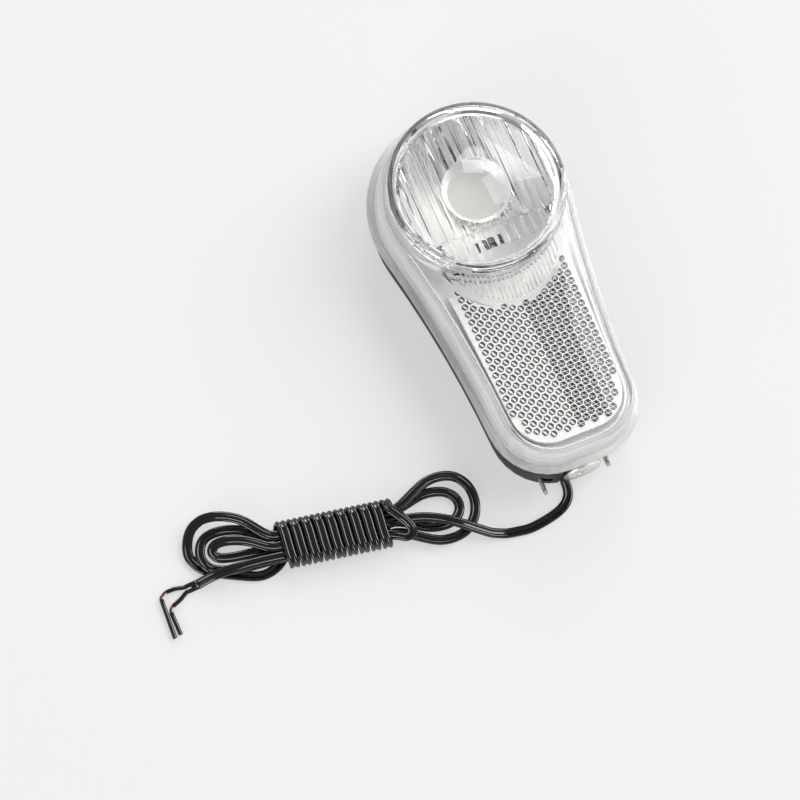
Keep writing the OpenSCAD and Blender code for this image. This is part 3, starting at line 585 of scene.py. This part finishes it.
class HEADLIGHT_OT_lead_ends(bpy.types.Operator):
    """Makes the parted cores, their bared copper and the slugs of covering on the tips"""
    bl_idname = "headlight.lead_ends"
    bl_label = "Lead Ends"

    def execute(self, context):
        lead = context.scene.headlight_lead
        covering = soft_covering("cut_covering", lead.colour)
        copper = plated_metal("bared_copper", lead.copper_colour, 0.3, 1500.0, vary=0.2)
        strand, apart, copper_d = lead.strand / MM, (lead.strand + lead.web) / MM, lead.copper / MM
        for key, (side, run) in CORE_RUNS.items():
            across = side * apart / 2 * SPLIT_ACROSS
            start = [SPLIT_AT + across + k * SPLIT_ALONG for k in (0, 1, 2)]
            route = [in_hank(p) for p in [*start, *run]]
            core = swept(f"core_{key}", flat_frames(smooth_route(route, ROUTE_STEPS)),
                         round_section(2 * CORE_SHARE * strand))
            dress(core, covering, LAMP, f"cord_core_{key}", slot="cord_black")
            self.bared(f"bared_copper_{key}", key, copper_d, copper)
            self.slug(f"tip_covering_{key}", key, lead, covering)
        return {"FINISHED"}

    def bared(self, name, key, diameter, copper):
        """Seven fine wires laid up in a gentle twist."""
        run = CORE_RUNS[key][1]
        end = Vector(run[-1])
        along = (end - Vector(run[-2])).normalized()
        tip, far = SLUGS[key]
        into = (far - tip).normalized()
        route = [end, end + 0.5 * along, tip - 0.5 * into, tip]
        frames = flat_frames(smooth_route([in_hank(p) for p in route], 8))
        wire, outer, twist = diameter / 3.0, 6, 0.8
        made = []
        for k in range(outer + 1):
            twisted = []
            for i, (centre, side, upper) in enumerate(frames):
                a = math.tau * (k / outer + i / len(frames) * twist)
                reach = 0 if k == outer else wire * 0.98
                away = reach * (math.cos(a) * side + math.sin(a) * upper)
                twisted.append((centre + away, side, upper))
            made.append(swept(f"{name}_{k}", twisted, round_section(wire, 8)))
        take(made[0])
        for wire_piece in made[1:]:
            wire_piece.select_set(True)
        bpy.ops.object.join()
        made[0].name = name
        dress(made[0], copper, LAMP, f"copper_end_{key}", slot="copper")

    def slug(self, name, key, lead, covering):
        """A short piece of covering, hollow at its far end where the copper has drawn back."""
        tip, far = (in_hank(p) * MM for p in SLUGS[key])
        length, hollow = (far - tip).length, 1.5 * MM
        deselect()
        bpy.ops.mesh.primitive_cylinder_add(vertices=24, radius=lead.strand / 2, depth=length)
        piece = bpy.context.object
        piece.name = name
        bpy.ops.object.mode_set(mode="EDIT")
        bpy.ops.mesh.select_all(action="DESELECT")
        mesh = bmesh.from_edit_mesh(piece.data)
        for face in mesh.faces:
            face.select = face.normal.z > 0.9
        bmesh.update_edit_mesh(piece.data)
        bpy.ops.mesh.inset(thickness=(lead.strand - lead.copper) / 2)
        bpy.ops.mesh.extrude_region_move(TRANSFORM_OT_translate={"value": (0, 0, -hollow)})
        bpy.ops.object.mode_set(mode="OBJECT")
        bevel = piece.modifiers.new("cut_edge", "BEVEL")
        bevel.width = 0.06 * MM
        bevel.segments = 2
        bevel.limit_method = "ANGLE"
        apply_modifiers(piece)
        uv = piece.data.uv_layers.new(name="along")
        for loop in piece.data.loops:
            at = piece.data.vertices[loop.vertex_index].co
            uv.data[loop.index].uv = (at.z, math.atan2(at.y, at.x) / math.tau)
        bpy.ops.object.shade_smooth_by_angle(angle=math.radians(40))
        piece.rotation_mode = "QUATERNION"
        piece.rotation_quaternion = (far - tip).to_track_quat("Z", "Y")
        piece.location = (tip + far) / 2
        apply_place(piece)
        dress(piece, covering, LAMP, f"end_slug_{key}", slot="cord_black")


class HEADLIGHT_OT_twin_lead(bpy.types.Operator):
    """Makes the twin lead as one length: out of the housing, through the hank and round it"""
    bl_idname = "headlight.twin_lead"
    bl_label = "Twin Lead"

    def execute(self, context):
        lead = context.scene.headlight_lead
        frames = lead_frames()
        piece = swept("twin_lead", frames, twin_section(lead.strand / MM, lead.web / MM))
        covering = soft_covering("lead_covering", lead.colour)
        dress(piece, covering, LAMP, "cord_lead", "cord_hank", "cord_binding", "cord_tail",
              slot="cord_black")
        return {"FINISHED"}


# Housing, clear front and lamp head

class HEADLIGHT_OT_rear_housing(bpy.types.Operator):
    """Rounds the edges of the rear housing and gives it a grained dark moulding"""
    bl_idname = "headlight.rear_housing"
    bl_label = "Rear Housing"

    def execute(self, context):
        body = context.scene.headlight_body
        piece = moulded_copy("rear_housing", "housing_shell", body.edge)
        material = moulded_plastic("grained_housing", body.housing, 0.42, 3200.0, 0.3, 0.12)
        dress(piece, material, LAMP, "rear_housing", slot="dark_plastic")
        return {"FINISHED"}


class HEADLIGHT_OT_clear_front(bpy.types.Operator):
    """Rounds the edges of the clear front and makes it transparent, with painted shade on the groove
    flanks and on the far side of the rim
    """
    bl_idname = "headlight.clear_front"
    bl_label = "Clear Front"

    def execute(self, context):
        body = context.scene.headlight_body
        piece = moulded_copy("front_cover", "clear_front", body.edge)
        self.lift_off_rim(piece)
        self.part_rim(piece)
        material = clear_plastic("clear_moulding", body.clear)
        dress(piece, material, LAMP, "front_cover", slot="clear_plastic")
        for material in (
                clear_plastic("frosted_inside", body.frost, 0.4, 1500.0, 0.03, clear=0.25, vary=0.28,
                              stretch=(0.03, 0.03, 1)),
                # A grey tint on the flanks of the grooves in the tongue: painted shade
                clear_plastic("groove_painted_shade", (0.82, 0.82, 0.81), 0.25, 450.0, 0.02, clear=0.4,
                              vary=0.4),
                # A dark tint on the far side of the rim: painted shade
                clear_plastic("rim_painted_shade", (0.14, 0.14, 0.15), 0.08, 300.0, clear=0.7)):
            piece.data.materials.append(material)
        plain, frosted, groove, rim = range(4)
        for face in piece.data.polygons:
            centre = face.center / MM
            face.material_index = (rim if self.rim_painted_shade(centre, face.normal) else
                                   groove if self.groove(centre, face.normal) else
                                   frosted if self.frosted(centre, face.normal) else plain)
        return {"FINISHED"}

    def lift_off_rim(self, piece):
        """Raises the underside of the flange a hair's breadth off the rim of the housing."""
        bpy.ops.object.mode_set(mode="EDIT")
        bpy.ops.mesh.select_mode(type="VERT")
        bpy.ops.mesh.select_all(action="DESELECT")
        mesh = bmesh.from_edit_mesh(piece.data)
        for vertex in mesh.verts:
            vertex.select_set(abs(vertex.co.z / MM - PART_Z) < 0.01)
        bmesh.update_edit_mesh(piece.data)
        bpy.ops.transform.translate(value=(0, 0, FLANGE_LIFT * MM))
        bpy.ops.object.mode_set(mode="OBJECT")

    def part_rim(self, piece):
        """Cuts the flat top of the rim into its near and its far half, so that the far half can take the
        painted shade.
        """
        bpy.ops.object.mode_set(mode="EDIT")
        bpy.ops.mesh.select_mode(type="FACE")
        bpy.ops.mesh.select_all(action="DESELECT")
        mesh = bmesh.from_edit_mesh(piece.data)
        for face in mesh.faces:
            face.select_set(face.normal.z > 0.9 and face.calc_center_median().z > (RIM_Z - 0.1) * MM)
        bmesh.update_edit_mesh(piece.data)
        bpy.ops.mesh.bisect(plane_co=(0, (HEAD_Y + RIM_FAR) * MM, 0), plane_no=(0, 1, 0))
        bpy.ops.object.mode_set(mode="OBJECT")

    def rim_painted_shade(self, centre, normal):
        """True on the top of the rim and its outer chamfer, on the far side, which get a dark painted
        shade.
        """
        outward = Vector((centre.x, centre.y - HEAD_Y, 0))
        chamfer = outward.length > RIM_R - 0.6 and normal.dot(outward.normalized()) > 0.3
        top = centre.z > RIM_Z - 0.1 and normal.z > 0.9
        return centre.z > RIM_Z - 0.9 and outward.y > RIM_FAR and (chamfer or top)

    def groove(self, centre, normal):
        """True on the flanks of the grooves in the tongue, which get a grey painted shade."""
        on_tongue = math.hypot(centre.x, centre.y - TONGUE_Y) < TONGUE_R - 1.7
        outside = math.hypot(centre.x, centre.y - HEAD_Y) > RIM_R - 0.8
        return on_tongue and outside and centre.z > DECK_UNDER + 0.2 and abs(normal.x) > 0.45

    def frosted(self, centre, normal):
        """True on the underside of the flange, the locating lip and the inner side of the walls."""
        spine = Vector((0, min(max(centre.y, CORNER_Y), HEAD_Y), centre.z))
        inward = normal.dot((centre - spine).normalized()) < -0.3
        foot = centre.z < PART_Z + 0.2 and (normal.z < -0.5 or centre.z < PART_Z - 0.1)
        return foot or inward and centre.z < DECK_UNDER - 1


class HEADLIGHT_OT_window_lens(bpy.types.Operator):
    """Smooths the fluted window with its bull's-eye and makes it transparent, with a grey painted shade
    on the bull's-eye's matt rear face
    """
    bl_idname = "headlight.window_lens"
    bl_label = "Window Lens"

    def execute(self, context):
        body = context.scene.headlight_body
        piece = moulded_copy("window_lens", "fluted_window", smooth=24.0)
        material = clear_plastic("clear_window", body.clear, 0.02, 160.0, 0.004)
        dress(piece, material, LAMP, "window_lens", slot="lens_plastic")
        # The matt rear face of the bull's-eye is real; its grey tint is painted shade
        piece.data.materials.append(
            clear_plastic("matt_eye_back_painted_shade", (0.62, 0.62, 0.61), 0.45, 700.0, 0.02, clear=0.6))
        for face in piece.data.polygons:
            face.material_index = 1 if face.normal.z < -0.9 and face.center.z < 25 * MM else 0
        return {"FINISHED"}


class HEADLIGHT_OT_lamp_bowl(bpy.types.Operator):
    """Smooths the metallised bowl behind the window and dresses the emitter under it"""
    bl_idname = "headlight.lamp_bowl"
    bl_label = "Lamp Bowl"

    def execute(self, context):
        piece = moulded_copy("lamp_reflector", "lamp_bowl", smooth=35.0)
        material = plated_metal("metallised_bowl", (0.90, 0.905, 0.90), 0.45, 420.0, vary=0.03)
        dress(piece, material, LAMP, "lamp_reflector", slot="metallised")
        keep_node("led_board", moulded_plastic("board_mask_white", (0.72, 0.72, 0.70), 0.5, 1800.0, 0.1))
        keep_node("led_emitter", moulded_plastic("emitter_dome", (0.72, 0.68, 0.50), 0.2, 900.0, 0.05))
        aluminium = plated_metal("bare_aluminium", (0.62, 0.63, 0.65), 0.4, 500.0, lines=(8, 1, 1))
        keep_node("heat_sink", aluminium)
        return {"FINISHED"}


class HEADLIGHT_OT_light_tray(bpy.types.Operator):
    """Rounds the light tray behind the clear front"""
    bl_idname = "headlight.light_tray"
    bl_label = "Light Tray"

    def execute(self, context):
        body = context.scene.headlight_body
        piece = moulded_copy("prism_backing", "light_tray", body.edge)
        material = moulded_plastic("tray_white", body.tray, 0.45, 1500.0, 0.08, 0.03)
        dress(piece, material, LAMP, "prism_backing", slot="white_plastic")
        return {"FINISHED"}


def keep_node(name, material):
    """Gives a solid that stays as it is a finished surface."""
    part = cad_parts[name]
    part.data.materials.clear()
    part.data.materials.append(material)


# Reflector field

def in_field(x, y, margin):
    """True where a cell centred there, in millimetres, belongs to the field.

    The margin keeps whole cells along the sides of the plate. Round the head and the tongue the
    field runs on below their edge.
    """
    top, low, end, corner = 18.5, 16.6, HEAD_Y - 0.8 * HEAD_R, 11.0
    half = low + (top - low) * (y - FIELD_FOOT) / (end - FIELD_FOOT)
    x = abs(x)
    bend = Vector((low - corner, FIELD_FOOT + corner))
    rounded = y > bend.y or x < bend.x or (Vector((x, y)) - bend).length < corner - margin
    return (x < half - margin and y > FIELD_FOOT + margin and rounded
            and math.hypot(x, y - HEAD_Y) > HEAD_R - 1.4
            and math.hypot(x, y - TONGUE_Y) > TONGUE_R - 1.0)


class HEADLIGHT_OT_reflector_field(bpy.types.Operator):
    """Makes the prismatic reflector: a plate with hundreds of six-sided cells"""
    bl_idname = "headlight.reflector_field"
    bl_label = "Reflector Field"

    def execute(self, context):
        field = context.scene.headlight_field
        ground = self.cell_plastic("prism_ground", field.ground, 0.25, 0.05)
        # Dark painted shade on the hollow facets, darker on the right half than on the left
        right = self.cell_plastic("prism_painted_shade_right", field.painted_shade_right, 0.22, 0.5)
        left = self.cell_plastic("prism_painted_shade_left", field.painted_shade_left, 0.22, 0.5)
        plate = moulded_copy("prism_plate", "reflector_field")
        plate.data.materials.clear()
        for material in (ground, right, left):
            plate.data.materials.append(material)
        four, two = (0, 60, 180, 240, 360), (0, 180, 360)
        masters = [self.cell("cell_right", field, (0.05, 0.93, 0.055, 1.0), four, (ground, right)),
                   self.cell("cell_left", field, (0.13, 0.80, 0.05, 3.4), two, (ground, left))]
        sheets = [self.sheet(master, field, side) for master, side in zip(masters, (1, -1))]
        take(plate)
        for sheet in sheets:
            sheet.select_set(True)
        bpy.ops.object.join()
        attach(plate, LAMP)
        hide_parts("prism_plate")
        return {"FINISHED"}

    def cell_plastic(self, name, colour, roughness, vary):
        """Plastic of the cells, mottled in tone and gloss. For the facets its dark colour is painted
        shade.
        """
        material, tree, principled, _ = shader(name)
        mottle = object_noise(tree, 900.0, 1.0)
        paint(tree, principled, mottle.outputs["Fac"], varied(colour, vary))
        gloss(tree, principled, mottle.outputs["Fac"], roughness * 0.7, roughness * 1.3)
        return material

    def cell(self, name, field, shares, bearings, materials):
        """One cell: a six-sided block whose top has a frame and hollow facets round a light band; the
        facets get the painted shade.
        """
        border, ring, spoke, band = shares
        radius = field.pitch / math.sqrt(3) - CELL_GAP * MM
        block = 0.5 * MM
        deselect()
        bpy.ops.mesh.primitive_cylinder_add(
            vertices=6, radius=radius, depth=block, rotation=(0, 0, math.radians(30)))
        piece = bpy.context.object
        piece.name = name
        apply_place(piece)
        for material in materials:
            piece.data.materials.append(material)
        bpy.ops.object.mode_set(mode="EDIT")
        bpy.ops.mesh.select_mode(type="FACE")
        self.pick(piece, lambda f: f.normal.z > 0.9)
        bpy.ops.mesh.inset(thickness=border * radius)
        bpy.ops.mesh.inset(thickness=ring * radius * (1 - border) * math.cos(math.radians(30)))
        bpy.ops.transform.translate(value=(0, 0, -field.depth))
        bpy.ops.transform.resize(value=(band, 1, 1))
        for low, high in zip(bearings, bearings[1:]):
            self.pick(piece, lambda f: self.facet(f, block, field.depth, low, high))
            bpy.ops.mesh.inset(thickness=spoke * radius)
            # The facet takes the painted shade
            piece.active_material_index = 1
            bpy.ops.object.material_slot_assign()
        bpy.ops.object.mode_set(mode="OBJECT")
        piece.location = (0, 0, (PLATE_TOP + CELL_RISE) * MM - block / 2)
        piece.rotation_euler = (0, 0, math.radians(120))
        return apply_place(piece)

    def facet(self, face, block, depth, low, high):
        """True for a sloping facet of the cell's top whose middle lies between two bearings."""
        middle = face.calc_center_median()
        bearing = math.degrees(math.atan2(middle.y, middle.x)) % 360
        sloping = block / 2 - 0.9 * depth < middle.z < block / 2 - 0.1 * depth
        return face.material_index == 0 and sloping and low < bearing < high

    def pick(self, piece, wanted):
        """Selects the wanted faces of a piece that is being edited."""
        bpy.ops.mesh.select_all(action="DESELECT")
        mesh = bmesh.from_edit_mesh(piece.data)
        mesh.normal_update()
        for face in [f for f in mesh.faces if wanted(f)]:
            face.select_set(True)
        bmesh.update_edit_mesh(piece.data)

    def sheet(self, master, field, side):
        """Copies a cell over one half of the plate, in columns along the lamp."""
        pitch = field.pitch / MM
        step = pitch * math.cos(math.radians(30))
        columns = range(COLUMNS) if side > 0 else range(-COLUMNS, 0)
        places = [((k + 0.5) * step, FIELD_FOOT + (j + k % 2 / 2) * pitch)
                  for k in columns for j in range(ROWS)]
        places = [p for p in places if in_field(*p, 0.5 * pitch)]
        copies = []
        for x, y in places:
            copy = bpy.data.objects.new(master.name, master.data.copy())
            bpy.context.scene.collection.objects.link(copy)
            copy.location = (x * MM, y * MM, 0)
            copies.append(copy)
        deselect()
        for copy in copies:
            copy.select_set(True)
        bpy.context.view_layer.objects.active = copies[0]
        bpy.ops.object.join()
        bpy.data.objects.remove(master)
        return apply_place(copies[0])


# Fixing and electrical parts

class HEADLIGHT_OT_fixing(bpy.types.Operator):
    """Rounds the edges of the bolt, its washer and the two tabs"""
    bl_idname = "headlight.fixing"
    bl_label = "Fixing"

    def execute(self, context):
        body = context.scene.headlight_body
        plating = plated_metal("nickel_plating", body.plating, 0.3, 600.0, vary=0.05)
        tin = plated_metal("tinned_brass", (0.66, 0.62, 0.56), 0.28, 500.0, vary=0.08, lines=(1, 6, 1))
        bolt = moulded_copy("fixing_bolt", "clamp_bolt", 0.22 * MM, rounds=3)
        dress(bolt, plating, BOLT, "fixing_bolt", slot="plated_steel")
        washer = moulded_copy("bolt_washer", "clamp_washer", body.metal_edge)
        dress(washer, plating, WASHER, "bolt_washer", slot="plated_steel")
        for side in ("left", "right"):
            tab = moulded_copy(f"tail_tab_{side}", f"tab_{side}", body.metal_edge)
            dress(tab, tin, LAMP, f"tail_tab_{side}", slot="tinned_brass")
        keep_node("captive_nut", plating)
        return {"FINISHED"}


class HEADLIGHT_OT_electronics(bpy.types.Operator):
    """Gives the parts on the control board their finished surfaces"""
    bl_idname = "headlight.electronics"
    bl_label = "Electronics"

    def execute(self, context):
        surfaces = {
            "control_board": ("board_mask_green", (0.03, 0.16, 0.07), 0.35, 1200.0, 0.1),
            "smoothing_capacitor": ("sleeve_blue", (0.02, 0.025, 0.06), 0.3, 700.0, 0.05),
            "rectifier_diodes": ("moulded_epoxy", (0.02, 0.02, 0.02), 0.5, 2500.0, 0.2),
            "led_wires": ("wire_covering", (0.03, 0.03, 0.032), 0.35, 900.0, 0.05)}
        for name, surface in surfaces.items():
            keep_node(name, moulded_plastic(*surface))
        return {"FINISHED"}


# Stage

class HEADLIGHT_OT_stage(bpy.types.Operator):
    """Sets up the camera, the floor and the light"""
    bl_idname = "headlight.stage"
    bl_label = "Stage"

    def execute(self, context):
        stage = context.scene.headlight_stage
        context.scene.view_settings.view_transform = "Standard"
        self.camera(context.scene, stage)
        self.floor(stage)
        self.light(context.scene, stage)
        return {"FINISHED"}

    def camera(self, scene, stage):
        """The camera, in the pose that was fitted to the photo."""
        deselect()
        bpy.ops.object.camera_add()
        camera = bpy.context.object
        right = Vector((0.91603462, -0.39200996, 0.08490441))
        up = Vector((0.35209266, 0.88728376, 0.29792330))
        look = Vector((0.19212321, 0.24301384, -0.95080647))
        place = Matrix((right, up, -look)).transposed().to_4x4()
        place.translation = Vector((-211.372, -233.243, 855.726)) * MM
        camera.matrix_world = place
        camera.data.sensor_width = 36
        camera.data.lens = stage.lens
        camera.data.clip_start = 0.01
        camera.data.clip_end = 20
        scene.camera = camera

    def floor(self, stage):
        """A pale floor that glows a little to the camera only."""
        deselect()
        bpy.ops.mesh.primitive_plane_add(size=8, location=(0, 0, -0.02 * MM))
        floor = bpy.context.object
        floor.name = "studio_floor"
        material, tree, principled, output = shader("pale_floor")
        cloud = object_noise(tree, 1.5)
        paint(tree, principled, cloud.outputs["Fac"], (shaded(stage.floor, 0.997), stage.floor))
        principled.inputs["Roughness"].default_value = 0.9
        principled.inputs["Specular IOR Level"].default_value = 0.1
        path = node(tree, "ShaderNodeLightPath")
        glow = node(tree, "ShaderNodeEmission", i_Color=(*stage.floor, 1))
        mix = node(tree, "ShaderNodeMixShader")
        tree.links.new(spread(tree, path.outputs["Is Camera Ray"], 0, FLOOR_GLOW), mix.inputs["Fac"])
        tree.links.new(principled.outputs["BSDF"], mix.inputs[1])
        tree.links.new(glow.outputs["Emission"], mix.inputs[2])
        tree.links.new(mix.outputs["Shader"], output.inputs["Surface"])
        floor.data.materials.append(material)

    def light(self, scene, stage):
        """A sky that is darker overhead, and three softboxes."""
        world = bpy.data.worlds.new("studio_sky")
        scene.world = world
        world.use_nodes = True
        tree = world.node_tree
        background = tree.nodes["Background"]
        place = node(tree, "ShaderNodeTexCoord")
        parts = node(tree, "ShaderNodeSeparateXYZ")
        tree.links.new(place.outputs["Generated"], parts.inputs["Vector"])
        shade = graded(tree, parts.outputs["Z"], (0.3, (0.6, 0.6, 0.6)), (0.6, (0.15, 0.15, 0.15)))
        tree.links.new(shade, background.inputs["Color"])
        background.inputs["Strength"].default_value = stage.sky
        self.softbox("key_light", stage.key, 2.4, (2.2, 0.3, 2.0))
        self.softbox("back_light", stage.back, 1.2, (0.9, 2.0, 1.5))
        self.softbox("fill_light", stage.fill, 2.0, (-2.2, -1.4, 1.1))

    def softbox(self, name, power, size, place):
        """A square area light that faces the lamp."""
        deselect()
        bpy.ops.object.light_add(type="AREA", location=place)
        lamp = bpy.context.object
        lamp.name = name
        lamp.data.energy = power
        lamp.data.shape = "SQUARE"
        lamp.data.size = size
        lamp.rotation_mode = "QUATERNION"
        lamp.rotation_quaternion = (-Vector(place)).to_track_quat("-Z", "Y")


# Panel and run

GROUPS = {"headlight_lead": LeadSettings, "headlight_body": BodySettings,
          "headlight_field": FieldSettings, "headlight_stage": StageSettings}
STEPS = (
    HEADLIGHT_OT_stage, HEADLIGHT_OT_lead_ends, HEADLIGHT_OT_twin_lead, HEADLIGHT_OT_rear_housing,
    HEADLIGHT_OT_clear_front, HEADLIGHT_OT_window_lens, HEADLIGHT_OT_lamp_bowl, HEADLIGHT_OT_light_tray,
    HEADLIGHT_OT_reflector_field, HEADLIGHT_OT_fixing, HEADLIGHT_OT_electronics)


class HEADLIGHT_PT_panel(bpy.types.Panel):
    """Lists the steps that dress the headlight and the sizes and colours they use"""
    bl_idname = "HEADLIGHT_PT_panel"
    bl_label = "Headlight"
    bl_space_type = "VIEW_3D"
    bl_region_type = "UI"
    bl_category = "Headlight"

    def draw(self, context):
        for name in GROUPS:
            group = getattr(context.scene, name)
            box = self.layout.box()
            for key in group.__annotations__:
                box.prop(group, key)
        for step in STEPS:
            self.layout.operator(step.bl_idname)


CLASSES = (*GROUPS.values(), *STEPS, HEADLIGHT_PT_panel)


def register():
    for made in CLASSES:
        bpy.utils.register_class(made)
    for name, group in GROUPS.items():
        setattr(bpy.types.Scene, name, bpy.props.PointerProperty(type=group))


def unregister():
    for name in GROUPS:
        delattr(bpy.types.Scene, name)
    for made in reversed(CLASSES):
        bpy.utils.unregister_class(made)


def main():
    register()
    bpy.ops.headlight.stage()
    bpy.ops.headlight.lead_ends()
    bpy.ops.headlight.twin_lead()
    bpy.ops.headlight.rear_housing()
    bpy.ops.headlight.clear_front()
    bpy.ops.headlight.window_lens()
    bpy.ops.headlight.lamp_bowl()
    bpy.ops.headlight.light_tray()
    bpy.ops.headlight.reflector_field()
    bpy.ops.headlight.fixing()
    bpy.ops.headlight.electronics()


if __name__ == "__main__":
    main()
